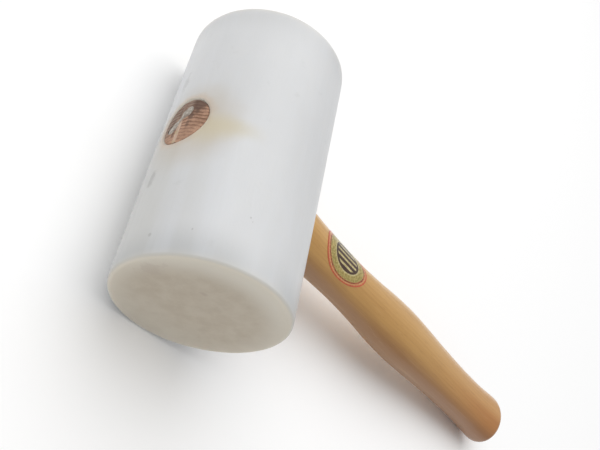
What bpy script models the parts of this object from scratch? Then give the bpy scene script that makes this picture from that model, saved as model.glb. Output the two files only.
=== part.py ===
"""Wooden-handled mallet with a translucent plastic head, lying on its side.

The mallet is modelled upright to its own axes: the origin is the middle of the
head, +X runs along the head to the front striking face, and +Y runs down the
handle to its butt.  Every part hangs on one empty, which lays the mallet down
so that the head and the butt of the handle both touch the plane z = 0.
"""

import math

import bmesh
import bpy
from mathutils import Matrix

# ---------------------------------------------------------------- dimensions
HEAD_RADIUS = 0.038
HEAD_LENGTH = 0.140
HEAD_EDGE_RADIUS = 0.002
EYE_RADIUS = 0.0121

FIT_GAP = 0.0003
TENON_RADIUS = EYE_RADIUS - FIT_GAP
SHOULDER_START = HEAD_RADIUS + FIT_GAP

# Distance from the head's axis, half width (along X), half thickness (along Z).
GRIP_STATIONS = (
    (0.0440, 0.0144, 0.0136),
    (0.0600, 0.0139, 0.0126),
    (0.0800, 0.0135, 0.0120),
    (0.0950, 0.0137, 0.0119),
    (0.1140, 0.0147, 0.0125),
    (0.1330, 0.0165, 0.0135),
    (0.1520, 0.0173, 0.0141),
    (0.1710, 0.0168, 0.0138),
    (0.1900, 0.0160, 0.0132),
    (0.2090, 0.0155, 0.0128),
    (0.2300, 0.0154, 0.0126),
    (0.2500, 0.0157, 0.0131),
    (0.2700, 0.0169, 0.0143),
)
BUTT_CORNER_RADIUS = 0.0050
BUTT_DOME_HEIGHT = 0.0015
BUTT_END = GRIP_STATIONS[-1][0] + BUTT_CORNER_RADIUS + BUTT_DOME_HEIGHT

# The timber wedge fills a saw kerf across the end of the handle.
KERF_OFFSET = -0.0020
KERF_DEPTH = 0.044
TIMBER_WEDGE_LENGTH = 0.0224
TIMBER_WEDGE_THICKNESS = 0.0024
TIMBER_WEDGE_TIP_THICKNESS = 0.0008
TIMBER_WEDGE_DEPTH = 0.040

# The steel wedge is driven in across it, at an angle.
STEEL_WEDGE_CENTRE = (-0.0017, -0.0026)
STEEL_WEDGE_ANGLE = math.radians(-43.0)
STEEL_WEDGE_LENGTH = 0.0156
STEEL_WEDGE_WAIST = 0.0018
STEEL_WEDGE_LOBE = 0.0052
STEEL_WEDGE_DEPTH = 0.022
STEEL_WEDGE_TIP_THICKNESS_SHARE = 0.35
STEEL_WEDGE_TIP_LENGTH_SHARE = 0.90

# How far a wedge stands out before it is trimmed flush, and a cutter for a clean cut.
UNTRIMMED = 0.002
CUTTER_OVERSHOOT = 0.010

# The label is a thin transfer on the broad upper side of the handle.
LABEL_CENTRE = 0.076
LABEL_ANGLE = math.radians(95.0)
LABEL_LENGTH = 0.039
LABEL_WIDTH = 0.024
LABEL_THICKNESS = 0.0002

HEAD_SEGMENTS = 96
EYE_SEGMENTS = 48
HANDLE_SEGMENTS = 48
GRIP_RING_SPACING = 0.0065
LABEL_SEGMENTS = 48


# ------------------------------------------------------------------- helpers
def clear_scene():
    for leftover in list(bpy.data.objects):
        bpy.data.objects.remove(leftover, do_unlink=True)


def new_collection(name):
    collection = bpy.data.collections.new(name)
    bpy.context.scene.collection.children.link(collection)
    return collection


def new_material(name, colour, roughness, metallic=0.0):
    material = bpy.data.materials.new(name)
    material.use_nodes = True
    shader = material.node_tree.nodes["Principled BSDF"]
    shader.inputs["Base Color"].default_value = (*colour, 1.0)
    shader.inputs["Roughness"].default_value = roughness
    shader.inputs["Metallic"].default_value = metallic
    material.diffuse_color = (*colour, 1.0)
    return material


def new_object(name, shape, collection, parent):
    """Turn a bmesh into an object that hangs on the parent empty."""
    bmesh.ops.recalc_face_normals(shape, faces=shape.faces)
    mesh = bpy.data.meshes.new(name)
    shape.to_mesh(mesh)
    shape.free()
    mesh.shade_smooth()
    mesh.set_sharp_from_angle(angle=math.radians(35.0))
    piece = bpy.data.objects.new(name, mesh)
    collection.objects.link(piece)
    piece.parent = parent
    return piece


def mark_as_cutter(piece):
    piece.hide_render = True
    piece.display_type = "WIRE"


def add_boolean(piece, cutter, operation):
    modifier = piece.modifiers.new(operation.title() + " " + cutter.name, "BOOLEAN")
    modifier.operation = operation
    modifier.solver = "EXACT"
    modifier.object = cutter


def cylinder(radius, length, axis, segments):
    """A capped cylinder, centred on the origin, along X or Y."""
    turn = Matrix.Rotation(math.radians(90.0), 4, "Y" if axis == "X" else "X")
    shape = bmesh.new()
    bmesh.ops.create_cone(
        shape, cap_ends=True, segments=segments,
        radius1=radius, radius2=radius, depth=length, matrix=turn,
    )
    return shape


def loft(rings, first_pole=None, last_pole=None):
    """Skin closed rings of equal length; each end is a pole or one flat face."""
    shape = bmesh.new()
    loops = [[shape.verts.new(point) for point in ring] for ring in rings]
    count = len(loops[0])
    for near, far in zip(loops, loops[1:]):
        for i in range(count):
            j = (i + 1) % count
            shape.faces.new((near[i], near[j], far[j], far[i]))
    for loop, pole in ((loops[0], first_pole), (loops[-1], last_pole)):
        if pole is None:
            shape.faces.new(loop)
            continue
        tip = shape.verts.new(pole)
        for i in range(count):
            shape.faces.new((loop[i], loop[(i + 1) % count], tip))
    return shape


# -------------------------------------------------------------- handle shape
def catmull_rom(before, start, end, after, t):
    """A curve through start and end, with the slopes of their neighbours."""
    slope_in = 0.5 * (end - before)
    slope_out = 0.5 * (after - start)
    return (
        (2 * t**3 - 3 * t**2 + 1) * start
        + (t**3 - 2 * t**2 + t) * slope_in
        + (3 * t**2 - 2 * t**3) * end
        + (t**3 - t**2) * slope_out
    )


def grip_section(distance):
    """Half width and half thickness of the grip at a distance from the head's axis."""
    stations = GRIP_STATIONS
    last = len(stations) - 1
    span = 0
    while span < last - 1 and stations[span + 1][0] < distance:
        span += 1
    start = stations[span]
    end = stations[span + 1]
    before = stations[max(span - 1, 0)]
    after = stations[min(span + 2, last)]
    t = (distance - start[0]) / (end[0] - start[0])
    half_width = catmull_rom(before[1], start[1], end[1], after[1], t)
    half_thickness = catmull_rom(before[2], start[2], end[2], after[2], t)
    return half_width, half_thickness


def oval_ring(distance, half_width, half_thickness):
    ring = []
    for i in range(HANDLE_SEGMENTS):
        angle = 2 * math.pi * i / HANDLE_SEGMENTS
        ring.append((half_width * math.cos(angle), distance, half_thickness * math.sin(angle)))
    return ring


def end_grain_ring(radius):
    """A ring on the end of the tenon, which is planed flush with the round head."""
    ring = []
    for x, _, z in oval_ring(0.0, radius, radius):
        ring.append((x, -math.sqrt(HEAD_RADIUS**2 - z**2), z))
    return ring


def shoulder_rings():
    """The tenon swells to the full grip in a short rounded shoulder."""
    first_distance, full_width, full_thickness = GRIP_STATIONS[0]
    rings = [oval_ring(SHOULDER_START, TENON_RADIUS, TENON_RADIUS)]
    steps = 3
    for step in range(1, steps):
        t = step / steps
        swell = math.sin(t * math.pi / 2)
        rings.append(oval_ring(
            SHOULDER_START + t * (first_distance - SHOULDER_START),
            TENON_RADIUS + swell * (full_width - TENON_RADIUS),
            TENON_RADIUS + swell * (full_thickness - TENON_RADIUS),
        ))
    return rings


def grip_rings():
    start = GRIP_STATIONS[0][0]
    end = GRIP_STATIONS[-1][0]
    steps = round((end - start) / GRIP_RING_SPACING)
    rings = []
    for step in range(steps + 1):
        distance = start + (end - start) * step / steps
        rings.append(oval_ring(distance, *grip_section(distance)))
    return rings


def butt_rings():
    """The rounded corner of the butt, then its low dome."""
    start, half_width, half_thickness = GRIP_STATIONS[-1]
    corner_steps = 4
    rings = []
    for step in range(1, corner_steps + 1):
        angle = step / corner_steps * math.pi / 2
        inset = BUTT_CORNER_RADIUS * (1 - math.cos(angle))
        rings.append(oval_ring(
            start + BUTT_CORNER_RADIUS * math.sin(angle),
            half_width - inset,
            half_thickness - inset,
        ))
    return rings


def lay_down_angle():
    """Tilt that brings the thick butt down to the plane that the head rests on."""
    distance, _, half_thickness = GRIP_STATIONS[-1]
    reach = math.hypot(distance, half_thickness)
    return math.asin(HEAD_RADIUS / reach) - math.atan2(half_thickness, distance)


# ------------------------------------------------------------------ the parts
def add_rest_empty(collection):
    """The empty that lays the mallet down, with the whole of it centred on the origin."""
    tilt = lay_down_angle()
    far_edge = BUTT_END * math.cos(tilt)
    empty = bpy.data.objects.new("mallet_at_rest", None)
    collection.objects.link(empty)
    empty.rotation_euler = (-tilt, 0.0, 0.0)
    empty.location = (0.0, (HEAD_RADIUS - far_edge) / 2, HEAD_RADIUS)
    return empty


def add_eye_cutter(cutters, rest):
    shape = cylinder(EYE_RADIUS, 3 * HEAD_RADIUS, "Y", EYE_SEGMENTS)
    cutter = new_object("eye_cutter", shape, cutters, rest)
    mark_as_cutter(cutter)
    return cutter


def add_head(parts, rest, eye):
    head = new_object(
        "head", cylinder(HEAD_RADIUS, HEAD_LENGTH, "X", HEAD_SEGMENTS), parts, rest)
    edges = head.modifiers.new("Rounded edges", "BEVEL")
    edges.width = HEAD_EDGE_RADIUS
    edges.segments = 4
    edges.limit_method = "ANGLE"
    edges.angle_limit = math.radians(40.0)
    add_boolean(head, eye, "DIFFERENCE")
    head.data.materials.append(new_material("white_plastic", (0.72, 0.72, 0.71), 0.38))
    return head


def add_handle(parts, rest):
    cap_rings = [end_grain_ring(TENON_RADIUS * share) for share in (0.25, 0.5, 0.75, 1.0)]
    rings = cap_rings + shoulder_rings() + grip_rings() + butt_rings()
    shape = loft(rings, (0.0, -HEAD_RADIUS, 0.0), (0.0, BUTT_END, 0.0))
    handle = new_object("handle", shape, parts, rest)
    handle.data.materials.append(new_material("lacquered_hardwood", (0.42, 0.25, 0.12), 0.42))
    return handle


def timber_wedge_shape(length, thickness, tip_thickness, depth, overshoot):
    """A block across the tenon, thick at the end face and thin at its tip."""
    top = -HEAD_RADIUS - overshoot
    tip = -HEAD_RADIUS + depth
    shape = bmesh.new()
    bmesh.ops.create_cube(shape, size=1.0)
    for vert in shape.verts:
        at_tip = vert.co.y > 0
        vert.co.x *= length
        vert.co.y = tip if at_tip else top
        vert.co.z = vert.co.z * (tip_thickness if at_tip else thickness) + KERF_OFFSET
    return shape


def add_kerf_cutter(cutters, rest):
    shape = timber_wedge_shape(
        4 * TENON_RADIUS,
        TIMBER_WEDGE_THICKNESS + 2 * FIT_GAP,
        TIMBER_WEDGE_TIP_THICKNESS + 2 * FIT_GAP,
        KERF_DEPTH,
        CUTTER_OVERSHOOT,
    )
    cutter = new_object("kerf_cutter", shape, cutters, rest)
    mark_as_cutter(cutter)
    return cutter


def add_flush_cutter(cutters, rest):
    """The round of the head, which trims both wedges level with its surface."""
    shape = cylinder(HEAD_RADIUS, HEAD_LENGTH / 2, "X", HEAD_SEGMENTS)
    cutter = new_object("flush_cutter", shape, cutters, rest)
    mark_as_cutter(cutter)
    return cutter


def steel_wedge_half_width(share):
    """Half thickness at a share of the half length: narrow waist, full lobe, thin end."""
    lobe_place = 0.52
    if share < lobe_place:
        rise = 0.5 - 0.5 * math.cos(math.pi * share / lobe_place)
        return 0.5 * (STEEL_WEDGE_WAIST + rise * (STEEL_WEDGE_LOBE - STEEL_WEDGE_WAIST))
    fall = (share - lobe_place) / (1 - lobe_place)
    return 0.5 * STEEL_WEDGE_LOBE * math.sqrt(max(0.0, 1 - 0.95 * fall**2))


def steel_wedge_ring(distance, length_share, thickness_share, margin):
    """Outline of the steel wedge, turned to its angle, at one depth."""
    steps = 10
    along = [-1 + step / steps for step in range(2 * steps + 1)]
    half_length = 0.5 * STEEL_WEDGE_LENGTH * length_share + margin
    half_widths = [steel_wedge_half_width(abs(s)) * thickness_share + margin for s in along]
    upper = [(s * half_length, half_width) for s, half_width in zip(along, half_widths)]
    lower = [(x, -y) for x, y in reversed(upper)]
    cosine = math.cos(STEEL_WEDGE_ANGLE)
    sine = math.sin(STEEL_WEDGE_ANGLE)
    ring = []
    for x, z in upper + lower:
        ring.append((
            STEEL_WEDGE_CENTRE[0] + x * cosine - z * sine,
            distance,
            STEEL_WEDGE_CENTRE[1] + x * sine + z * cosine,
        ))
    return ring


def steel_wedge_shape(margin, overshoot):
    tip = -HEAD_RADIUS + STEEL_WEDGE_DEPTH + margin
    rings = [
        steel_wedge_ring(-HEAD_RADIUS - overshoot, 1.0, 1.0, margin),
        steel_wedge_ring(-HEAD_RADIUS, 1.0, 1.0, margin),
        steel_wedge_ring(
            tip, STEEL_WEDGE_TIP_LENGTH_SHARE, STEEL_WEDGE_TIP_THICKNESS_SHARE, margin),
    ]
    return loft(rings)


def add_wedges(parts, cutters, rest, handle):
    """Saw the kerf, drive the timber wedge in, then the steel one across both."""
    kerf = add_kerf_cutter(cutters, rest)
    flush = add_flush_cutter(cutters, rest)
    slot = new_object(
        "steel_slot_cutter", steel_wedge_shape(FIT_GAP, CUTTER_OVERSHOOT), cutters, rest)
    mark_as_cutter(slot)

    add_boolean(handle, kerf, "DIFFERENCE")
    add_boolean(handle, slot, "DIFFERENCE")

    shape = timber_wedge_shape(
        TIMBER_WEDGE_LENGTH, TIMBER_WEDGE_THICKNESS, TIMBER_WEDGE_TIP_THICKNESS,
        TIMBER_WEDGE_DEPTH, UNTRIMMED,
    )
    timber = new_object("timber_wedge", shape, parts, rest)
    add_boolean(timber, flush, "INTERSECT")
    add_boolean(timber, slot, "DIFFERENCE")
    timber.data.materials.append(new_material("pale_wedge_wood", (0.55, 0.45, 0.32), 0.6))

    steel = new_object("steel_wedge", steel_wedge_shape(0.0, UNTRIMMED), parts, rest)
    add_boolean(steel, flush, "INTERSECT")
    steel.data.materials.append(new_material("wedge_steel", (0.45, 0.45, 0.44), 0.45, 1.0))


def add_label(parts, rest):
    """An oval skin just clear of the handle, thickened outwards."""
    mean_radius = sum(grip_section(LABEL_CENTRE)) / 2
    shares = (0.2, 0.4, 0.6, 0.8, 1.0)
    shape = bmesh.new()

    def surface_point(share, turn):
        distance = LABEL_CENTRE + share * LABEL_LENGTH / 2 * math.cos(turn)
        angle = LABEL_ANGLE + share * LABEL_WIDTH / 2 * math.sin(turn) / mean_radius
        half_width, half_thickness = grip_section(distance)
        return (
            (half_width + FIT_GAP) * math.cos(angle),
            distance,
            (half_thickness + FIT_GAP) * math.sin(angle),
        )

    centre = shape.verts.new(surface_point(0.0, 0.0))
    loops = []
    for share in shares:
        turns = [2 * math.pi * i / LABEL_SEGMENTS for i in range(LABEL_SEGMENTS)]
        loops.append([shape.verts.new(surface_point(share, turn)) for turn in turns])
    for i in range(LABEL_SEGMENTS):
        j = (i + 1) % LABEL_SEGMENTS
        shape.faces.new((centre, loops[0][i], loops[0][j]))
        for inner, outer in zip(loops, loops[1:]):
            shape.faces.new((inner[i], outer[i], outer[j], inner[j]))
    label = new_object("maker_label", shape, parts, rest)
    skin = label.modifiers.new("Skin", "SOLIDIFY")
    skin.thickness = LABEL_THICKNESS
    skin.offset = 1.0
    label.data.materials.append(new_material("printed_transfer", (0.45, 0.30, 0.12), 0.35))
    return label


def main():
    clear_scene()
    parts = new_collection("mallet")
    cutters = new_collection("mallet_cutters")
    rest = add_rest_empty(parts)
    eye = add_eye_cutter(cutters, rest)
    add_head(parts, rest, eye)
    handle = add_handle(parts, rest)
    add_wedges(parts, cutters, rest, handle)
    add_label(parts, rest)


main()
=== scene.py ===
"""Looks of a wooden-handled mallet with a white plastic head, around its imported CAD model.

Each piece is modelled to the mallet's own axes, in metres: the origin is the middle of
the head, +X runs along the head to the front striking face, and +Y runs down the handle.
REST then lays the piece down where the CAD model lies.
"""

import math

import bmesh
import bpy
from mathutils import Matrix, Vector, noise


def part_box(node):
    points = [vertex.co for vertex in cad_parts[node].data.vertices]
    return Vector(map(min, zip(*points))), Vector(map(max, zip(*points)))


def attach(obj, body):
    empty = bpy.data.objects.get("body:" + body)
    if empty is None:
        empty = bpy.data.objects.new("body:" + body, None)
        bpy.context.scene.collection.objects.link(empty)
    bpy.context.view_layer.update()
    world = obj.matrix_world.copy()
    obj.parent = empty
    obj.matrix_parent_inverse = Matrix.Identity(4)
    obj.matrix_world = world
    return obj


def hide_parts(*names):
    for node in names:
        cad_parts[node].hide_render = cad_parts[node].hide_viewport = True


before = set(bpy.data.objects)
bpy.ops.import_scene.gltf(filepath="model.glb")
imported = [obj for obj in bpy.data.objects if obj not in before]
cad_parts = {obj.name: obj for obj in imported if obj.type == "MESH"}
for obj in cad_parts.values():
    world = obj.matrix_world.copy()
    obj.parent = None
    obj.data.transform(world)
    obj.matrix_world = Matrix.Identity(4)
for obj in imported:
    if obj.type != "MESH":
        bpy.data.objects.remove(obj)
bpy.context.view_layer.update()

# ------------------------------------------------------------ sizes from the frame
HEAD_LOW, HEAD_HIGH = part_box("head")
HEAD_LENGTH = HEAD_HIGH.x - HEAD_LOW.x
HEAD_RADIUS = (HEAD_HIGH.z - HEAD_LOW.z) / 2
HEAD_CENTRE = (HEAD_LOW + HEAD_HIGH) / 2

# Distance from the head's axis, half width (along X), half thickness (along Z).
GRIP_STATIONS = (
    (0.0440, 0.0144, 0.0136),
    (0.0600, 0.0139, 0.0126),
    (0.0800, 0.0135, 0.0120),
    (0.0950, 0.0137, 0.0119),
    (0.1140, 0.0147, 0.0125),
    (0.1330, 0.0165, 0.0135),
    (0.1520, 0.0173, 0.0141),
    (0.1710, 0.0168, 0.0138),
    (0.1900, 0.0160, 0.0132),
    (0.2090, 0.0155, 0.0128),
    (0.2300, 0.0154, 0.0126),
    (0.2500, 0.0157, 0.0131),
    (0.2700, 0.0169, 0.0143),
)
BUTT_CORNER_RADIUS = 0.0050
BUTT_DOME_HEIGHT = 0.0012
BUTT_REACH = math.hypot(GRIP_STATIONS[-1][0], GRIP_STATIONS[-1][2])
BUTT_SLOPE = math.atan2(GRIP_STATIONS[-1][2], GRIP_STATIONS[-1][0])
REST_TILT = math.asin(HEAD_RADIUS / BUTT_REACH) - BUTT_SLOPE
REST = Matrix.Translation(HEAD_CENTRE) @ Matrix.Rotation(-REST_TILT, 4, "X")

EDGE_RADIUS = 0.0020
EYE_RADIUS = 0.01210
TENON_RADIUS = 0.01200
END_GRAIN_RECESS = 0.0004
SHOULDER_START = HEAD_RADIUS + 0.0002

KERF_OFFSET = -0.0020
KERF_DEPTH = 0.043
TIMBER_WEDGE_LENGTH = 0.0230
TIMBER_WEDGE_THICKNESS = 0.0025
TIMBER_WEDGE_TIP_THICKNESS = 0.0009
TIMBER_WEDGE_DEPTH = 0.040

STEEL_WEDGE_CENTRE = (-0.0017, -0.0026)
STEEL_WEDGE_ANGLE = math.radians(-43.0)
STEEL_WEDGE_LENGTH = 0.0158
STEEL_WEDGE_WAIST = 0.0018
STEEL_WEDGE_LOBE = 0.0052
STEEL_WEDGE_DEPTH = 0.022
STEEL_WEDGE_TIP_SCALE = 0.35

SLOT_GAP = 0.00006
CUTTER_OVERSHOOT = 0.010

LABEL_CENTRE = 0.076
LABEL_ANGLE = math.radians(95.0)
LABEL_LENGTH = 0.039
LABEL_WIDTH = 0.024
FILM_THICKNESS = 0.00006

# Marks that stand out, each as (place), (half size), strength. On the head's side the place
# is (X, distance round the head from the eye's centre), and on a striking face it is (Y, Z).
SIDE_MARKS = (
    ((0.0460, 0.0409), (0.0008, 0.0006), 0.32),
    ((0.0474, 0.0420), (0.0006, 0.0004), 0.30),
    ((0.0600, 0.0042), (0.0009, 0.0008), 0.28),
    ((0.0577, 0.0210), (0.0005, 0.0004), 0.30),
    ((-0.0266, -0.0090), (0.0066, 0.0030), 0.20),
    ((0.0287, -0.0082), (0.0050, 0.0026), 0.32),
)
FACE_MARKS = (
    ((-0.0300, 0.0020), (0.0040, 0.0072), 0.15),
    ((-0.0090, 0.0100), (0.0020, 0.0014), 0.22),
)
# Dark marks on the tenon's end, stains and painted shade of a gap beside the steel wedge: place (X,
# Z), half size, strength.
END_GRAIN_STAINS_AND_SHADE = (
    ((-0.0076, 0.0062), (0.0052, 0.0042), 0.85),
    ((-0.0024, 0.0034), (0.0022, 0.0016), 0.75),
    ((0.0020, 0.0026), (0.0026, 0.0010), 0.55),
    ((-0.0060, -0.0030), (0.0026, 0.0014), 0.50),
    ((0.0052, -0.0046), (0.0030, 0.0010), 0.60),
    ((-0.0010, -0.0066), (0.0034, 0.0014), 0.40),
)

CAMERA_PLACE = (0.20717, -0.18066, 0.19924)
CAMERA_FORWARD = (-0.5747, 0.6179, -0.5366)
CAMERA_RIGHT = (-0.1701, 0.5512, 0.8169)
CAMERA_LENS = 45.07


# ---------------------------------------------------------------- mesh building
def loft(rings, first_pole=None, last_pole=None):
    """Skin closed rings of equal length; each end is a pole or one flat face."""
    shape = bmesh.new()
    loops = [[shape.verts.new(point) for point in ring] for ring in rings]
    count = len(loops[0])
    for near, far in zip(loops, loops[1:]):
        for i in range(count):
            j = (i + 1) % count
            shape.faces.new((near[i], near[j], far[j], far[i]))
    for loop, pole in ((loops[0], first_pole), (loops[-1], last_pole)):
        if pole is None:
            shape.faces.new(loop)
            continue
        tip = shape.verts.new(pole)
        for i in range(count):
            shape.faces.new((loop[i], loop[(i + 1) % count], tip))
    return shape


def make_object(name, shape):
    """Turn a bmesh into an object, still standing in the mallet's own axes."""
    bmesh.ops.recalc_face_normals(shape, faces=shape.faces)
    mesh = bpy.data.meshes.new(name)
    shape.to_mesh(mesh)
    shape.free()
    piece = bpy.data.objects.new(name, mesh)
    bpy.context.scene.collection.objects.link(piece)
    return piece


def bake_modifiers(piece):
    """Make the modified shape the piece's own mesh."""
    bpy.context.view_layer.update()
    shown = piece.evaluated_get(bpy.context.evaluated_depsgraph_get())
    plain = piece.data
    piece.data = bpy.data.meshes.new_from_object(shown)
    piece.data.name = plain.name
    piece.modifiers.clear()
    bpy.data.meshes.remove(plain)


def drop_slivers(mesh):
    """Close up the needle-thin faces that a cut leaves where two edges nearly meet."""
    hair = 0.000020
    passes = 3
    most_hole_sides = 8
    shape = bmesh.new()
    shape.from_mesh(mesh)
    bmesh.ops.remove_doubles(shape, verts=shape.verts, dist=hair)
    for _ in range(passes):
        many_sided = [face for face in shape.faces if len(face.verts) > 4]
        bmesh.ops.triangulate(shape, faces=many_sided)
        bmesh.ops.dissolve_degenerate(shape, edges=shape.edges, dist=hair)
    flaps = [face for face in shape.faces if least_height(face) < hair / 10]
    bmesh.ops.delete(shape, geom=flaps, context="FACES_ONLY")
    loose_verts = [vert for vert in shape.verts if vert.is_boundary]
    bmesh.ops.remove_doubles(shape, verts=loose_verts, dist=hair * 8)
    loose_edges = [edge for edge in shape.edges if edge.is_boundary]
    bmesh.ops.holes_fill(shape, edges=loose_edges, sides=most_hole_sides)
    shape.to_mesh(mesh)
    shape.free()


def least_height(face):
    """The face's height over whichever of its edges it rises from the least."""
    heights = []
    for edge in face.edges:
        start, end = (vert.co for vert in edge.verts)
        along = (end - start).normalized()
        heights.append(max((vert.co - start).cross(along).length for vert in face.verts))
    return min(heights)


def cut(piece, cutter_shape):
    """Take the cutter's shape out of the piece."""
    cutter = make_object("cutter", cutter_shape)
    modifier = piece.modifiers.new("Cut", "BOOLEAN")
    modifier.operation = "DIFFERENCE"
    modifier.solver = "EXACT"
    modifier.object = cutter
    bake_modifiers(piece)
    bpy.data.objects.remove(cutter, do_unlink=True)
    drop_slivers(piece.data)


def smooth(piece, sharp_angle=40.0):
    piece.data.shade_smooth()
    piece.data.set_sharp_from_angle(angle=math.radians(sharp_angle))


def paint(piece, *materials):
    """Give the piece these materials and no others."""
    piece.data.materials.clear()
    for material in materials:
        piece.data.materials.append(material)


def wobble(point, size, seed):
    """Smooth noise from -1 to 1 whose lumps are about size metres across."""
    return noise.noise(Vector(point) / size + Vector((seed, 2 * seed, 3 * seed)))


# ------------------------------------------------------------------ the head
def head_profile():
    """Half of the head's outline, as (distance along X, radius), face centre to middle."""
    half = HEAD_LENGTH / 2
    flat_radius = HEAD_RADIUS - EDGE_RADIUS
    face_steps = 18
    edge_steps = 8
    side_steps = 46
    points = [(half, flat_radius * step / face_steps) for step in range(1, face_steps)]
    for step in range(edge_steps + 1):
        angle = step / edge_steps * math.pi / 2
        points.append((
            half - EDGE_RADIUS * (1 - math.cos(angle)),
            flat_radius + EDGE_RADIUS * math.sin(angle),
        ))
    side_length = half - EDGE_RADIUS
    for step in range(1, side_steps + 1):
        points.append((side_length * (1 - step / side_steps), HEAD_RADIUS))
    return points


def worn_head_point(along, radius, angle):
    """A point of the head, let in a little by its dents, and more along its edges."""
    edge_reach = 0.006
    rim_start = 0.75
    face_reach = 0.0005
    point = Vector((along, -radius * math.cos(angle), radius * math.sin(angle)))
    edge = max(0.0, abs(along) - (HEAD_LENGTH / 2 - edge_reach)) / edge_reach
    rim = edge * max(0.0, radius / HEAD_RADIUS - rim_start) / (1 - rim_start)
    sag = 0.00006 * (1 + wobble(point, 0.030, 5))
    sag += 0.00012 * rim * (1 + wobble(point, 0.007, 9))
    on_face = abs(along) > HEAD_LENGTH / 2 - face_reach
    face_sag = 0.00005 * (1 + wobble(point, 0.012, 3)) * on_face
    inward_radius = radius - min(sag, radius)
    return (
        along - math.copysign(face_sag + 0.3 * sag * edge, along),
        -inward_radius * math.cos(angle),
        inward_radius * math.sin(angle),
    )


def eye_cutter():
    """The round eye, whose two mouths flare out just under the head's round surface."""
    segments = 96
    # Depth under the surface, and how much wider than the eye the mouth is there.
    flare = ((-0.0040, 0.0030), (0.0003, 0.0008), (0.0002, 0.0004), (0.0006, 0.0001), (0.0011, 0.0))
    rings = []
    for side in (-1, 1):
        rows = flare if side < 0 else tuple(reversed(flare))
        for depth, widening in rows:
            radius = EYE_RADIUS + widening
            ring = []
            for i in range(segments):
                angle = 2 * math.pi * i / segments
                x = radius * math.cos(angle)
                z = radius * math.sin(angle)
                ring.append((x, side * (math.sqrt(HEAD_RADIUS**2 - z**2) - depth), z))
            rings.append(ring)
    return loft(rings)


def build_head():
    segments = 192
    front = head_profile()
    profile = front + [(-along, radius) for along, radius in reversed(front[:-1])]
    rings = []
    for along, radius in profile:
        angles = [2 * math.pi * i / segments for i in range(segments)]
        rings.append([worn_head_point(along, radius, angle) for angle in angles])
    dish = 0.0001
    centre = HEAD_LENGTH / 2 - dish
    head = make_object("plastic_head", loft(rings, (centre, 0, 0), (-centre, 0, 0)))
    cut(head, eye_cutter())
    smooth(head)
    paint(head, milky_plastic())
    return head


# ---------------------------------------------------------------- the handle
def catmull_rom(before, start, end, after, t):
    """A curve through start and end, with the slopes of their neighbours."""
    slope_in = 0.5 * (end - before)
    slope_out = 0.5 * (after - start)
    return (
        (2 * t**3 - 3 * t**2 + 1) * start
        + (t**3 - 2 * t**2 + t) * slope_in
        + (3 * t**2 - 2 * t**3) * end
        + (t**3 - t**2) * slope_out
    )


def grip_section(distance):
    """Half width and half thickness of the grip at a distance from the head's axis."""
    stations = GRIP_STATIONS
    last = len(stations) - 1
    span = 0
    while span < last - 1 and stations[span + 1][0] < distance:
        span += 1
    start = stations[span]
    end = stations[span + 1]
    before = stations[max(span - 1, 0)]
    after = stations[min(span + 2, last)]
    t = (distance - start[0]) / (end[0] - start[0])
    half_width = catmull_rom(before[1], start[1], end[1], after[1], t)
    half_thickness = catmull_rom(before[2], start[2], end[2], after[2], t)
    return half_width, half_thickness


def oval_ring(distance, half_width, half_thickness):
    segments = 96
    ring = []
    for i in range(segments):
        angle = 2 * math.pi * i / segments
        ring.append((half_width * math.cos(angle), distance, half_thickness * math.sin(angle)))
    return ring


def flush_depth(z, recess):
    """Where the head's round surface is above a point of the tenon, less a recess."""
    return -math.sqrt((HEAD_RADIUS - recess) ** 2 - z**2)


def end_grain_ring(radius):
    ring = []
    for x, _, z in oval_ring(0.0, radius, radius):
        ripple = 0.00005 * wobble((x, 0.0, z), 0.0022, 4)
        ring.append((x, flush_depth(z, END_GRAIN_RECESS + ripple), z))
    return ring


def handle_rings():
    """From the middle of the end grain, over shoulder and grip, to the middle of the butt."""
    cap_steps = 14
    bevel = 0.0002
    below_end_grain = -0.030
    rings = [end_grain_ring(TENON_RADIUS * step / cap_steps) for step in range(1, cap_steps)]
    rings.append(end_grain_ring(TENON_RADIUS - bevel))
    rings.append([(x, y + bevel, z) for x, y, z in end_grain_ring(TENON_RADIUS)])
    for distance in (below_end_grain, 0.0, SHOULDER_START):
        rings.append(oval_ring(distance, TENON_RADIUS, TENON_RADIUS))

    first, full_width, full_thickness = GRIP_STATIONS[0]
    shoulder_steps = 8
    for step in range(1, shoulder_steps):
        t = step / shoulder_steps
        swell = math.sin(t * math.pi / 2)
        rings.append(oval_ring(
            SHOULDER_START + t * (first - SHOULDER_START),
            TENON_RADIUS + swell * (full_width - TENON_RADIUS),
            TENON_RADIUS + swell * (full_thickness - TENON_RADIUS),
        ))

    last, butt_width, butt_thickness = GRIP_STATIONS[-1]
    grip_steps = 112
    for step in range(grip_steps + 1):
        distance = first + (last - first) * step / grip_steps
        rings.append(oval_ring(distance, *grip_section(distance)))

    corner_steps = 8
    for step in range(1, corner_steps + 1):
        angle = step / corner_steps * math.pi / 2
        inset = BUTT_CORNER_RADIUS * (1 - math.cos(angle))
        distance = last + BUTT_CORNER_RADIUS * math.sin(angle)
        rings.append(oval_ring(distance, butt_width - inset, butt_thickness - inset))
    dome_steps = 7
    for step in range(1, dome_steps):
        share = 1 - step / dome_steps
        rise = BUTT_DOME_HEIGHT * (1 - share**2)
        rings.append(oval_ring(
            last + BUTT_CORNER_RADIUS + rise,
            share * (butt_width - BUTT_CORNER_RADIUS),
            share * (butt_thickness - BUTT_CORNER_RADIUS),
        ))
    return rings


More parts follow.
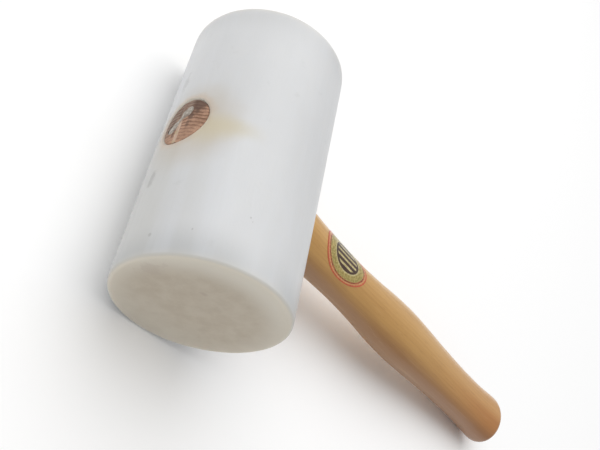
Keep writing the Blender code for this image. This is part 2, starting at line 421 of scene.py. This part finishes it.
def build_handle():
    butt_end = GRIP_STATIONS[-1][0] + BUTT_CORNER_RADIUS + BUTT_DOME_HEIGHT
    end_grain_middle = flush_depth(0, END_GRAIN_RECESS)
    shape = loft(handle_rings(), (0, end_grain_middle, 0), (0, butt_end, 0))
    handle = make_object("wooden_handle", shape)
    cut(handle, kerf_shape())
    cut(handle, steel_wedge_shape())
    smooth(handle)
    paint(handle, lacquered_wood(), end_grain())
    for face in handle.data.polygons:
        face.material_index = 1 if face.center.y < 0 else 0
    return handle


# ---------------------------------------------------------------- the wedges
def kerf_shape():
    """A block right across the tenon, thick at the end face and thin at its tip."""
    shape = bmesh.new()
    bmesh.ops.create_cube(shape, size=1.0)
    for vert in shape.verts:
        at_tip = vert.co.y > 0
        thickness = TIMBER_WEDGE_TIP_THICKNESS if at_tip else TIMBER_WEDGE_THICKNESS
        vert.co.x *= 4 * TENON_RADIUS
        vert.co.y = -HEAD_RADIUS + (KERF_DEPTH if at_tip else -CUTTER_OVERSHOOT)
        vert.co.z = vert.co.z * (thickness + 2 * SLOT_GAP) + KERF_OFFSET
    return shape


def timber_wedge_rings():
    """The timber wedge as rings across its length, so its bruised end can be uneven."""
    length_steps = 48
    side_depths = (0.0003, 0.0010, 0.010, TIMBER_WEDGE_DEPTH)
    side_drop = 0.0005
    columns = (-0.5, -0.42, -0.2, 0.0, 0.2, 0.42, 0.5)
    rings = []
    for step in range(length_steps + 1):
        x = TIMBER_WEDGE_LENGTH * (step / length_steps - 0.5)
        ring = []
        for column in columns:
            z = KERF_OFFSET + column * TIMBER_WEDGE_THICKNESS
            crush = 0.00012 * wobble((x, z, 0.0), 0.0012, 8)
            rounding = 0.00015 * (abs(column) > 0.45)
            ring.append((x, flush_depth(z, 0.00035 + crush + rounding), z))
        for side in (0.5, -0.5):
            for depth in side_depths if side > 0 else reversed(side_depths):
                share = depth / TIMBER_WEDGE_DEPTH
                taper = TIMBER_WEDGE_TIP_THICKNESS - TIMBER_WEDGE_THICKNESS
                thickness = TIMBER_WEDGE_THICKNESS + share * taper
                z = KERF_OFFSET + side * thickness
                ring.append((x, -HEAD_RADIUS + depth + side_drop, z))
        rings.append(ring)
    return rings


def build_timber_wedge():
    wedge = make_object("timber_slip", loft(timber_wedge_rings()))
    cut(wedge, steel_wedge_shape())
    smooth(wedge, 50.0)
    paint(wedge, pale_wedge_wood())
    return wedge


def steel_wedge_half_width(share):
    """Half thickness at a share of the half length: narrow waist, full lobe, thin end."""
    lobe_place = 0.52
    end_bluntness = 0.95
    if share < lobe_place:
        rise = 0.5 - 0.5 * math.cos(math.pi * share / lobe_place)
        return 0.5 * (STEEL_WEDGE_WAIST + rise * (STEEL_WEDGE_LOBE - STEEL_WEDGE_WAIST))
    fall = (share - lobe_place) / (1 - lobe_place)
    return 0.5 * STEEL_WEDGE_LOBE * math.sqrt(max(0.0, 1 - end_bluntness * fall**2))


def turn_to_wedge(along, across):
    """From the steel wedge's own length and thickness to X and Z."""
    cosine = math.cos(STEEL_WEDGE_ANGLE)
    sine = math.sin(STEEL_WEDGE_ANGLE)
    x = STEEL_WEDGE_CENTRE[0] + along * cosine - across * sine
    z = STEEL_WEDGE_CENTRE[1] + along * sine + across * cosine
    return x, z


def steel_wedge_half_length(scale):
    """Half length where the thickness is down to a scale; the length tapers much less."""
    return 0.5 * STEEL_WEDGE_LENGTH * (0.85 + 0.15 * scale)


def steel_wedge_shape():
    """The straight-sided form of the steel wedge, used to cut its slot."""
    steps = 16
    levels = (
        (-HEAD_RADIUS - CUTTER_OVERSHOOT, 1.0),
        (-HEAD_RADIUS, 1.0),
        (-HEAD_RADIUS + STEEL_WEDGE_DEPTH + SLOT_GAP, STEEL_WEDGE_TIP_SCALE),
    )
    rings = []
    for distance, scale in levels:
        half_length = steel_wedge_half_length(scale) + SLOT_GAP
        upper = []
        for step in range(2 * steps + 1):
            share = step / steps - 1
            across = steel_wedge_half_width(abs(share)) * scale + SLOT_GAP
            upper.append((share * half_length, across))
        outline = upper + [(along, -across) for along, across in reversed(upper)]
        turned = [turn_to_wedge(along, across) for along, across in outline]
        rings.append([(x, distance, z) for x, z in turned])
    return loft(rings)


def build_steel_wedge():
    """The driven wedge: a dished, hammered top with burred edges on tapering sides."""
    length_steps = 60
    columns = [column / 5 - 1 for column in range(11)]
    burr_start = 0.75
    side_depths = (0.0010, STEEL_WEDGE_DEPTH)
    rings = []
    for step in range(length_steps + 1):
        share = 2 * step / length_steps - 1
        half_width = steel_wedge_half_width(abs(share))
        ring = []
        for column in columns:
            x, z = turn_to_wedge(share * STEEL_WEDGE_LENGTH / 2, column * half_width)
            blow = 0.00010 * wobble((x, z, 0.0), 0.0016, 6)
            blow += 0.00004 * wobble((x, z, 0.0), 0.0005, 7)
            rounding = 0.00022 * max(0.0, abs(column) - burr_start) / (1 - burr_start)
            ring.append((x, flush_depth(z, 0.00022 + blow + rounding), z))
        for side in (1, -1):
            for depth in side_depths if side > 0 else reversed(side_depths):
                scale = 1 - (1 - STEEL_WEDGE_TIP_SCALE) * depth / STEEL_WEDGE_DEPTH
                along = share * steel_wedge_half_length(scale)
                x, z = turn_to_wedge(along, side * half_width * scale)
                ring.append((x, -HEAD_RADIUS + depth, z))
        rings.append(ring)
    wedge = make_object("steel_key", loft(rings))
    smooth(wedge, 50.0)
    paint(wedge, hammered_steel())
    return wedge


# ----------------------------------------------------------------- the label
def build_label():
    """The printed oval, a film bent round the handle; its UV map runs from -1 to 1."""
    segments = 96
    share_steps = 12
    mean_radius = sum(grip_section(LABEL_CENTRE)) / 2
    shape = bmesh.new()
    flat = shape.loops.layers.uv.new("label")
    plan = {}

    def add_point(share, turn):
        distance = LABEL_CENTRE + share * LABEL_LENGTH / 2 * math.cos(turn)
        angle = LABEL_ANGLE + share * LABEL_WIDTH / 2 * math.sin(turn) / mean_radius
        half_width, half_thickness = grip_section(distance)
        x = (half_width + FILM_THICKNESS) * math.cos(angle)
        z = (half_thickness + FILM_THICKNESS) * math.sin(angle)
        vert = shape.verts.new((x, distance, z))
        plan[vert] = (share * math.cos(turn), share * math.sin(turn))
        return vert

    turns = [2 * math.pi * i / segments for i in range(segments)]
    centre = add_point(0.0, 0.0)
    loops = []
    for step in range(1, share_steps + 1):
        loops.append([add_point(step / share_steps, turn) for turn in turns])
    for i in range(segments):
        j = (i + 1) % segments
        shape.faces.new((centre, loops[0][i], loops[0][j]))
        for inner, outer in zip(loops, loops[1:]):
            shape.faces.new((inner[i], outer[i], outer[j], inner[j]))
    for face in shape.faces:
        for loop in face.loops:
            loop[flat].uv = plan[loop.vert]
    label = make_object("oval_label", shape)
    skin = label.modifiers.new("Film", "SOLIDIFY")
    skin.thickness = FILM_THICKNESS
    skin.offset = 1.0
    bake_modifiers(label)
    smooth(label)
    paint(label, printed_film())
    return label


# ----------------------------------------------------------------- materials
def colour(red, green, blue):
    """A colour given as screen values from 0 to 255, as linear light."""
    linear = []
    for value in (red, green, blue):
        share = value / 255
        linear.append(share / 12.92 if share <= 0.04045 else ((share + 0.055) / 1.055) ** 2.4)
    return (*linear, 1.0)


class Graph:
    """A Principled material, with short names for the nodes that feed it."""

    def __init__(self, name):
        self.material = bpy.data.materials.new(name)
        self.material.use_nodes = True
        self.tree = self.material.node_tree
        self.shader = self.tree.nodes["Principled BSDF"]
        self.coordinates = self.tree.nodes.new("ShaderNodeTexCoord")
        self.place = self.in_mallet_axes("Object", HEAD_CENTRE)

    def in_mallet_axes(self, output, origin):
        """A coordinate output of the laid-down mesh, turned back to the mallet's own axes."""
        made = self.tree.nodes.new("ShaderNodeMapping")
        made.vector_type = "TEXTURE"
        self.feed(made.inputs["Vector"], self.coordinates.outputs[output])
        made.inputs["Location"].default_value = origin
        made.inputs["Rotation"].default_value = (-REST_TILT, 0.0, 0.0)
        return made.outputs[0]

    def feed(self, socket, value):
        if isinstance(value, bpy.types.NodeSocket):
            self.tree.links.new(value, socket)
        else:
            socket.default_value = value

    def set(self, **values):
        """Feed the shader; Base_Color stands for its Base Color socket, and so on."""
        for name, value in values.items():
            self.feed(self.shader.inputs[name.replace("_", " ")], value)

    def math(self, operation, *values):
        made = self.tree.nodes.new("ShaderNodeMath")
        made.operation = operation
        for socket, value in zip(made.inputs, values):
            self.feed(socket, value)
        return made.outputs[0]

    def product(self, first, *others):
        for other in others:
            first = self.math("MULTIPLY", first, other)
        return first

    def axes(self, vector):
        made = self.tree.nodes.new("ShaderNodeSeparateXYZ")
        self.feed(made.inputs[0], vector)
        return made.outputs[0], made.outputs[1], made.outputs[2]

    def distance(self, x, y):
        squares = self.math("ADD", self.math("MULTIPLY", x, x), self.math("MULTIPLY", y, y))
        return self.math("SQRT", squares)

    def stretch(self, vector, scale):
        made = self.tree.nodes.new("ShaderNodeVectorMath")
        made.operation = "MULTIPLY"
        self.feed(made.inputs[0], vector)
        made.inputs[1].default_value = scale
        return made.outputs[0]

    def noise(self, vector, scale=1.0, detail=3.0, roughness=0.5):
        made = self.tree.nodes.new("ShaderNodeTexNoise")
        self.feed(made.inputs["Vector"], vector)
        made.inputs["Scale"].default_value = scale
        made.inputs["Detail"].default_value = detail
        made.inputs["Roughness"].default_value = roughness
        return made.outputs["Fac"]

    def ramp(self, value, start, end, low=0.0, high=1.0):
        """Smoothly from low to high while value goes from start to end."""
        made = self.tree.nodes.new("ShaderNodeMapRange")
        made.interpolation_type = "SMOOTHSTEP"
        for socket, number in zip(made.inputs, (value, start, end, low, high)):
            self.feed(socket, number)
        return made.outputs[0]

    def mix(self, share, first, second):
        made = self.tree.nodes.new("ShaderNodeMix")
        made.data_type = "RGBA"
        self.feed(made.inputs[0], share)
        self.feed(made.inputs[6], first)
        self.feed(made.inputs[7], second)
        return made.outputs[2]

    def bump(self, height, distance, strength=1.0):
        made = self.tree.nodes.new("ShaderNodeBump")
        made.inputs["Strength"].default_value = strength
        made.inputs["Distance"].default_value = distance
        self.feed(made.inputs["Height"], height)
        self.feed(self.shader.inputs["Normal"], made.outputs[0])


def spot(g, across, along, place, size, ragged):
    """A soft-edged mark on a surface: 1 at its place, falling to 0 at its size."""
    sideways = g.math("DIVIDE", g.math("SUBTRACT", across, place[0]), size[0])
    lengthways = g.math("DIVIDE", g.math("SUBTRACT", along, place[1]), size[1])
    reach = g.math("ADD", g.distance(sideways, lengthways), ragged)
    return g.ramp(reach, 1.3, 0.5)


def milky_side(g, x, z, around, ragged):
    """White polymer: cloudy inside, stained by the wood at the eye, a little grimy, with painted
    shade on its lower side.
    """
    cloud = g.noise(g.stretch(g.place, (16.0, 40.0, 40.0)), 1.0, 3.0)
    body = g.mix(g.ramp(cloud, 0.3, 0.7), colour(208, 209, 210), colour(213, 214, 215))

    # Painted shade on the lower side of the head, below the eye, and a duller tone near both ends.
    low_side = g.product(g.ramp(around, 0.032, 0.002), g.ramp(around, -0.075, -0.030))
    painted_shade_low_side = g.product(low_side, g.ramp(x, -0.034, 0.006))
    body = g.mix(g.product(painted_shade_low_side, 0.45), body, colour(188, 187, 181))
    from_middle = g.math("ABSOLUTE", x)
    toward_end = g.ramp(g.math("MULTIPLY_ADD", cloud, 0.008, from_middle), 0.056, 0.074)
    front_end = g.ramp(x, -0.05, 0.05, 0.22, 0.58)
    from_crown = g.math("ABSOLUTE", g.math("SUBTRACT", around, 0.053))
    off_crown = g.ramp(from_crown, 0.003, 0.018, 0.35, 1.0)
    dull = g.product(toward_end, front_end, off_crown)
    body = g.mix(dull, body, colour(168, 170, 170))

    # Paler streaks along the head, from the way it was drawn.
    flow = g.noise(g.stretch(g.place, (9.0, 80.0, 80.0)), 1.0, 4.0)
    body = g.mix(g.product(g.ramp(flow, 0.45, 0.78), 0.28), body, colour(220, 223, 230))

    # Oil from the wood, crept out of the eye: a wide faint veil, then a warm halo close to it.
    off_veil = g.distance(g.math("SUBTRACT", x, 0.004), g.math("SUBTRACT", around, 0.005))
    off_veil = g.math("MULTIPLY_ADD", g.noise(g.place, 90.0, 3.0), 0.006, off_veil)
    body = g.mix(g.product(g.ramp(off_veil, 0.031, 0.014), 0.36), body, colour(186, 168, 140))
    from_eye = g.math("MULTIPLY_ADD", g.noise(g.place, 220.0, 2.0), 0.0030, g.distance(x, z))
    halo = g.ramp(from_eye, 0.0182, 0.0128)
    body = g.mix(g.product(halo, 0.85), body, colour(198, 176, 154))

    # A yellow run of oil, up and over the head from the eye, narrowing as it goes.
    width = g.ramp(around, 0.012, 0.036, 0.0088, 0.0048)
    drift = g.math("MULTIPLY_ADD", g.noise(g.place, 90.0, 2.0), 0.0040, -0.0082)
    off_centre = g.math("DIVIDE", g.math("ABSOLUTE", g.math("ADD", x, drift)), width)
    ends = g.product(g.ramp(around, 0.042, 0.021), g.ramp(around, 0.004, 0.010))
    run = g.product(g.ramp(off_centre, 1.35, 0.1), ends)
    body = g.mix(g.product(run, 0.58), body, colour(202, 190, 156))

    # Grime: faint smudges all over, then the few marks that stand out.
    smudge = g.ramp(g.noise(g.place, 120.0, 5.0, 0.6), 0.60, 0.76)
    body = g.mix(g.product(smudge, 0.10), body, colour(150, 150, 146))
    for place, size, strength in SIDE_MARKS:
        mark = spot(g, x, around, place, size, ragged)
        body = g.mix(g.product(mark, strength), body, colour(118, 116, 112))
    return body


def striking_face(g, y, z, ragged):
    """Polymer gone beige with use, but cleaner along the rim, and painted lighter towards the lower
    side.
    """
    clean_and_painted_light = colour(212, 206, 193)
    patch = g.noise(g.place, 130.0, 6.0, 0.62)
    used = g.mix(g.ramp(patch, 0.30, 0.72), colour(194, 184, 167), colour(184, 172, 154))
    outward = g.math("MULTIPLY_ADD", z, 0.15, g.distance(y, z))
    rim = g.ramp(g.math("MULTIPLY_ADD", patch, 0.004, outward), 0.0265, 0.0410)
    rim = g.product(rim, g.ramp(y, 0.004, 0.032, 1.0, 0.62))
    used = g.mix(rim, used, clean_and_painted_light)
    # Painted light: paler towards the lower side of the face, where the floor shades it.
    used = g.mix(g.ramp(z, -0.006, -0.034, 0.0, 0.45), used, clean_and_painted_light)
    for place, size, strength in FACE_MARKS:
        mark = spot(g, y, z, place, size, ragged)
        used = g.mix(g.product(mark, strength), used, colour(140, 112, 102))
    return used


def milky_plastic():
    """The head's polymer, which changes from the round side to the striking faces."""
    g = Graph("milky_plastic")
    x, y, z = g.axes(g.place)
    around = g.math("ARCTAN2", z, g.math("MULTIPLY", y, -1.0))
    around = g.math("MULTIPLY", around, HEAD_RADIUS)
    ragged = g.math("MULTIPLY_ADD", g.noise(g.place, 260.0, 6.0, 0.7), 3.4, -1.5)
    body = milky_side(g, x, z, around, ragged)
    used = striking_face(g, y, z, ragged)

    nx, _, _ = g.axes(g.in_mallet_axes("Normal", (0.0, 0.0, 0.0)))
    facing = g.math("ABSOLUTE", nx)
    on_face = g.ramp(facing, 0.15, 0.98)
    near_edge = g.ramp(g.math("ABSOLUTE", x), HEAD_LENGTH / 2 - 0.0045, HEAD_LENGTH / 2)
    body = g.mix(g.product(near_edge, 0.25), body, used)
    body = g.mix(on_face, body, used)
    # Painted shade: a greyer band over the rounded edge between the side and a striking face.
    painted_edge_shade = g.product(g.ramp(facing, 0.10, 0.45), g.ramp(facing, 0.97, 0.60))
    body = g.mix(g.product(painted_edge_shade, 0.45), body, colour(184, 183, 178))

    fine = g.noise(g.stretch(g.place, (500.0, 900.0, 900.0)), 1.0, 3.0)
    scuff = g.noise(g.stretch(g.place, (60.0, 700.0, 700.0)), 1.0, 4.0, 0.65)
    roughness = g.ramp(g.math("ADD", scuff, g.product(on_face, 0.4)), 0.3, 1.0, 0.34, 0.60)
    g.set(
        Base_Color=body,
        Roughness=roughness,
        IOR=1.50,
        Subsurface_Weight=0.60,
        Subsurface_Radius=(1.0, 0.92, 0.85),
        Subsurface_Scale=0.008,
    )
    g.bump(g.math("MULTIPLY_ADD", scuff, 1.4, fine), 0.00003, 0.8)
    return g.material


def from_pith(g, sway_scale, sway):
    """Distance from the tree's centre, which ran along the handle, well to one side of it."""
    pith_x = 0.062
    pith_z = -0.012
    x, _, z = g.axes(g.place)
    swaying = g.noise(g.stretch(g.place, (sway_scale, 5.0, sway_scale)), 1.0, 2.0)
    radius = g.distance(g.math("SUBTRACT", x, pith_x), g.math("SUBTRACT", z, pith_z))
    return g.math("MULTIPLY_ADD", swaying, sway, radius)


def growth_rings(g, radius, spacing):
    """One for the dense edge of each growth ring, zero for its soft part."""
    phase = g.math("FRACT", g.math("DIVIDE", radius, spacing))
    return g.math("MULTIPLY", g.ramp(phase, 0.25, 0.85), g.ramp(phase, 1.0, 0.90))


def lacquered_wood():
    """Hardwood along the grain under clear lacquer, darker towards the butt, with painted shade on
    its side towards +X and painted light on the far side.
    """
    g = Graph("lacquered_wood")
    radius = from_pith(g, 60.0, 0.0030)
    rings = growth_rings(g, radius, 0.0021)
    tone = g.noise(g.stretch(g.place, (70.0, 12.0, 70.0)), 1.0, 3.0)
    streak = g.noise(g.stretch(g.place, (650.0, 14.0, 650.0)), 1.0, 4.0, 0.6)
    pore = g.noise(g.stretch(g.place, (2600.0, 90.0, 2600.0)), 1.0, 2.0)
    _, along, _ = g.axes(g.place)

    wood = g.mix(g.ramp(tone, 0.3, 0.7), colour(196, 151, 86), colour(186, 141, 78))
    toward_butt = g.ramp(g.math("MULTIPLY_ADD", tone, 0.02, along), 0.16, 0.30)
    wood = g.mix(g.product(toward_butt, 0.95), wood, colour(176, 114, 54))
    # Painted light: the side of the handle away from the pith is made paler.
    outer = g.ramp(radius, 0.0620, 0.0700)
    wood = g.mix(g.product(outer, 0.45), wood, colour(214, 170, 106))
    # Painted shade: the side of the handle nearest the pith, towards +X, is made darker.
    painted_shade_side = g.ramp(radius, 0.0585, 0.0500)
    wood = g.mix(g.product(painted_shade_side, 0.80), wood, colour(138, 92, 50))
    wood = g.mix(g.product(rings, 0.10), wood, colour(150, 104, 60))
    wood = g.mix(g.product(g.ramp(streak, 0.45, 0.75), 0.16), wood, colour(150, 104, 58))
    wood = g.mix(g.product(g.ramp(streak, 0.45, 0.25), 0.14), wood, colour(212, 172, 118))
    wood = g.mix(g.product(g.ramp(pore, 0.60, 0.72), 0.24), wood, colour(128, 86, 48))
    g.set(
        Base_Color=wood,
        Roughness=g.ramp(streak, 0.2, 0.8, 0.42, 0.55),
        IOR=1.42,
        Coat_Weight=0.50,
        Coat_Roughness=0.16,
    )
    g.bump(g.math("MULTIPLY_ADD", pore, -0.8, streak), 0.00003, 0.7)
    return g.material


def end_grain():
    """The tenon's sawn end: dry wood cut across its rings, stained dark round the wedges, with
    painted shade of a gap beside the steel wedge.
    """
    g = Graph("end_grain")
    x, _, z = g.axes(g.place)
    tone = g.noise(g.place, 260.0, 4.0, 0.6)
    pore = g.noise(g.place, 2400.0, 2.0)
    rings = growth_rings(g, from_pith(g, 110.0, 0.0036), 0.0018)
    patchy = g.ramp(g.noise(g.place, 300.0, 3.0), 0.10, 0.62)
    fading = g.product(patchy, g.ramp(x, 0.010, 0.0, 0.40, 1.0))
    rings = g.product(rings, fading)

    wood = g.mix(g.ramp(tone, 0.3, 0.7), colour(188, 148, 122), colour(160, 124, 100))
    low = g.math("MULTIPLY_ADD", g.noise(g.place, 220.0, 3.0), 0.008, g.math("ADD", x, z))
    wood = g.mix(g.product(g.ramp(low, 0.004, -0.006), 0.80), wood, colour(138, 122, 110))
    wood = g.mix(g.product(rings, 0.85), wood, colour(98, 64, 46))
    ragged = g.math("MULTIPLY_ADD", g.noise(g.place, 300.0, 4.0), 1.4, -0.7)
    # Stains, and painted shade of a gap beside the steel wedge.
    for place, size, strength in END_GRAIN_STAINS_AND_SHADE:
        stain_and_shade = spot(g, x, z, place, size, ragged)
        wood = g.mix(g.product(stain_and_shade, strength), wood, colour(84, 60, 48))
    wood = g.mix(g.product(g.ramp(pore, 0.55, 0.70), 0.4), wood, colour(86, 60, 48))
    g.set(Base_Color=wood, Roughness=g.ramp(tone, 0.2, 0.8, 0.60, 0.80), IOR=1.45)
    g.bump(g.math("MULTIPLY_ADD", rings, -0.4, pore), 0.00006, 0.8)
    return g.material


def pale_wedge_wood():
    """Pale softwood, flecked with old glue, and stained dark at one end."""
    g = Graph("pale_wedge_wood")
    grain = g.noise(g.stretch(g.place, (260.0, 40.0, 1500.0)), 1.0, 4.0, 0.6)
    fleck = g.noise(g.place, 1800.0, 2.0)
    x, _, _ = g.axes(g.place)
    wood = g.mix(g.ramp(grain, 0.3, 0.7), colour(202, 176, 156), colour(176, 146, 126))
    glue = g.ramp(g.noise(g.place, 420.0, 3.0), 0.52, 0.66)
    wood = g.mix(g.product(glue, 0.5), wood, colour(172, 160, 108))
    stained = g.ramp(g.math("MULTIPLY_ADD", fleck, 0.004, x), 0.004, -0.002)
    wood = g.mix(g.product(stained, 0.85), wood, colour(122, 94, 80))
    wood = g.mix(g.product(g.ramp(fleck, 0.58, 0.72), 0.4), wood, colour(122, 98, 70))
    g.set(Base_Color=wood, Roughness=g.ramp(grain, 0.2, 0.8, 0.62, 0.78), IOR=1.45)
    g.bump(g.math("ADD", grain, fleck), 0.00006, 0.8)
    return g.material


def hammered_steel():
    """Bare mild steel, mottled, with some dark scale."""
    g = Graph("hammered_steel")
    mottle = g.noise(g.place, 900.0, 4.0, 0.6)
    scale = g.noise(g.place, 380.0, 5.0, 0.65)
    metal = g.mix(g.ramp(mottle, 0.3, 0.7), colour(190, 182, 172), colour(152, 144, 134))
    metal = g.mix(g.product(g.ramp(scale, 0.48, 0.66), 0.65), metal, colour(112, 96, 84))
    g.set(Base_Color=metal, Metallic=0.9, Roughness=g.ramp(mottle, 0.2, 0.8, 0.42, 0.62))
    g.bump(g.math("MULTIPLY_ADD", scale, 1.5, mottle), 0.00006, 0.8)
    return g.material


def printed_film():
    """A generic oval print: plain borders, and plain bars across the middle."""
    g = Graph("printed_film")
    u, v, _ = g.axes(g.coordinates.outputs["UV"])
    worn = g.math("MULTIPLY_ADD", g.noise(g.place, 1500.0, 3.0), 0.04, -0.02)
    ring = g.math("ADD", g.distance(u, v), worn)
    ink = g.noise(g.place, 900.0, 4.0, 0.6)

    gold = g.mix(g.ramp(ink, 0.35, 0.65), colour(184, 164, 98), colour(140, 124, 60))
    dark = g.mix(g.ramp(ink, 0.3, 0.7), colour(74, 42, 14), colour(46, 26, 8))
    cream = g.mix(g.ramp(ink, 0.3, 0.7), colour(206, 192, 140), colour(162, 146, 92))
    red = g.mix(g.ramp(ink, 0.3, 0.7), colour(202, 94, 58), colour(176, 74, 44))
    tan = g.mix(g.ramp(ink, 0.3, 0.7), colour(210, 156, 104), colour(186, 118, 72))
    maroon = g.mix(g.ramp(ink, 0.40, 0.60), colour(116, 38, 16), colour(182, 104, 56))

    bars = g.math("FRACT", g.math("MULTIPLY", v, 4.5))
    bar = g.product(g.ramp(bars, 0.12, 0.22), g.ramp(bars, 0.62, 0.52))
    inner = g.mix(g.product(bar, g.ramp(ring, 0.50, 0.46)), dark, cream)
    print_colour = g.mix(g.ramp(ring, 0.55, 0.58), inner, cream)
    print_colour = g.mix(g.ramp(ring, 0.60, 0.63), print_colour, gold)
    print_colour = g.mix(g.ramp(ring, 0.830, 0.850), print_colour, maroon)
    print_colour = g.mix(g.ramp(ring, 0.880, 0.900), print_colour, tan)
    print_colour = g.mix(g.ramp(ring, 0.935, 0.955), print_colour, red)
    g.set(
        Base_Color=print_colour,
        Roughness=g.ramp(ink, 0.2, 0.8, 0.34, 0.46),
        IOR=1.48,
        Coat_Weight=0.5,
        Coat_Roughness=0.20,
    )
    g.bump(ink, 0.00002, 0.6)
    return g.material


# --------------------------------------------------------- floor, light, camera
def build_floor():
    floor_size = 8.0
    bpy.ops.mesh.primitive_plane_add(size=floor_size, location=(0, 0, 0))
    floor = bpy.context.object
    floor.name = "studio_floor"
    g = Graph("pale_floor")
    g.set(Base_Color=colour(254, 254, 254), Roughness=0.9, IOR=1.3)
    floor.data.materials.append(g.material)


def add_softbox(name, place, size, power):
    lamp = bpy.data.lights.new(name, "AREA")
    lamp.shape = "DISK"
    lamp.size = size
    lamp.energy = power
    softbox = bpy.data.objects.new(name, lamp)
    bpy.context.scene.collection.objects.link(softbox)
    softbox.location = place
    aim = HEAD_CENTRE - Vector(place)
    softbox.rotation_euler = aim.to_track_quat("-Z", "Y").to_euler()


def light_the_studio():
    world = bpy.data.worlds.new("studio")
    bpy.context.scene.world = world
    world.use_nodes = True
    background = world.node_tree.nodes["Background"]
    background.inputs["Color"].default_value = (1.0, 1.0, 1.0, 1.0)
    background.inputs["Strength"].default_value = 0.515
    add_softbox("overhead", (-0.8, -0.6, 2.0), 3.2, 42.0)
    view = bpy.context.scene.view_settings
    view.view_transform = "Standard"
    view.look = "None"


def place_camera():
    forward = Vector(CAMERA_FORWARD).normalized()
    right = Vector(CAMERA_RIGHT)
    right = (right - right.dot(forward) * forward).normalized()
    up = right.cross(forward)
    turn = Matrix((right, up, -forward)).transposed().to_4x4()
    lens = bpy.data.cameras.new("photo_camera")
    lens.lens = CAMERA_LENS
    lens.sensor_width = 36.0
    lens.clip_start = 0.01
    camera = bpy.data.objects.new("photo_camera", lens)
    bpy.context.scene.collection.objects.link(camera)
    camera.matrix_world = REST @ Matrix.Translation(CAMERA_PLACE) @ turn
    bpy.context.scene.camera = camera


def show(piece, node):
    """Lay a finished piece down where the CAD model lies, in place of its CAD node."""
    piece.data.transform(REST)
    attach(piece, "root")
    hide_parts(node)


def main():
    place_camera()
    light_the_studio()
    build_floor()
    show(build_head(), "head")
    show(build_handle(), "handle")
    show(build_timber_wedge(), "timber_wedge")
    show(build_steel_wedge(), "steel_wedge")
    show(build_label(), "maker_label")


main()
